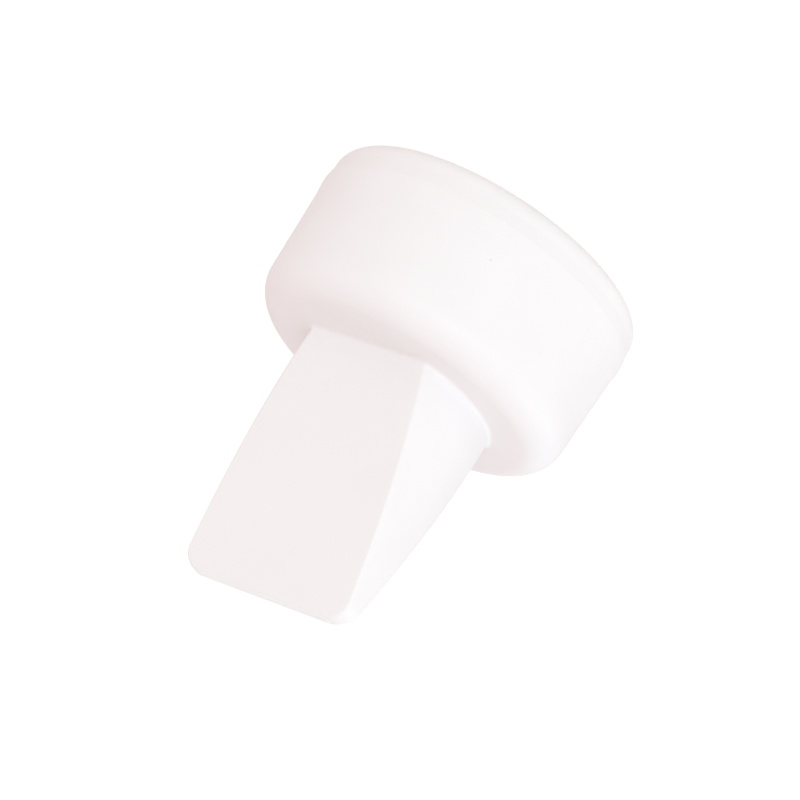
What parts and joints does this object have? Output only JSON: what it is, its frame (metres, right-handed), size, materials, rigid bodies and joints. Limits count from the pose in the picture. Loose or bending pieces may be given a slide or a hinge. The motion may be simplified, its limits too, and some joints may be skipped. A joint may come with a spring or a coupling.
{
  "type": "duckbill valve",
  "caption": "Soft silicone duckbill check valve: a round push-on collar with a closed shoulder, and a flat tapering bill whose lips part at a slit in the tip.",
  "frame": {"origin": "centre of the rim plane, at the open end of the collar", "axes": "+Z from the rim to the tip of the bill, X along the slit, Y across it with the front lip facing -Y"},
  "size_m": [0.022, 0.022, 0.027],
  "materials": {
    "silicone_collar": "satin, milky translucent",
    "silicone_bill": "satin, milky translucent"
  },
  "bodies": {
    "collar": {"collar_skirt": "silicone_collar", "shoulder": "silicone_collar", "side_wall_left": "silicone_bill", "side_wall_right": "silicone_bill"},
    "front_lip": {"front_lip": "silicone_bill"},
    "back_lip": {"back_lip": "silicone_bill"}
  },
  "joints": [
    {"name": "front_lip_open", "type": "hinge", "parent": "collar", "child": "front_lip", "pos_m": [0, -0.0041, 0.0109], "axis": [1, 0, 0], "range_deg": [0, 5], "stiffness_Nm_per_rad": 0.003},
    {"name": "back_lip_open", "type": "hinge", "parent": "collar", "child": "back_lip", "pos_m": [0, 0.0041, 0.0109], "axis": [-1, 0, 0], "range_deg": [0, 5], "stiffness_Nm_per_rad": 0.003}
  ],
  "couplings": [
    {"joint": "back_lip_open", "follows": "front_lip_open", "ratio": 1}
  ]
}
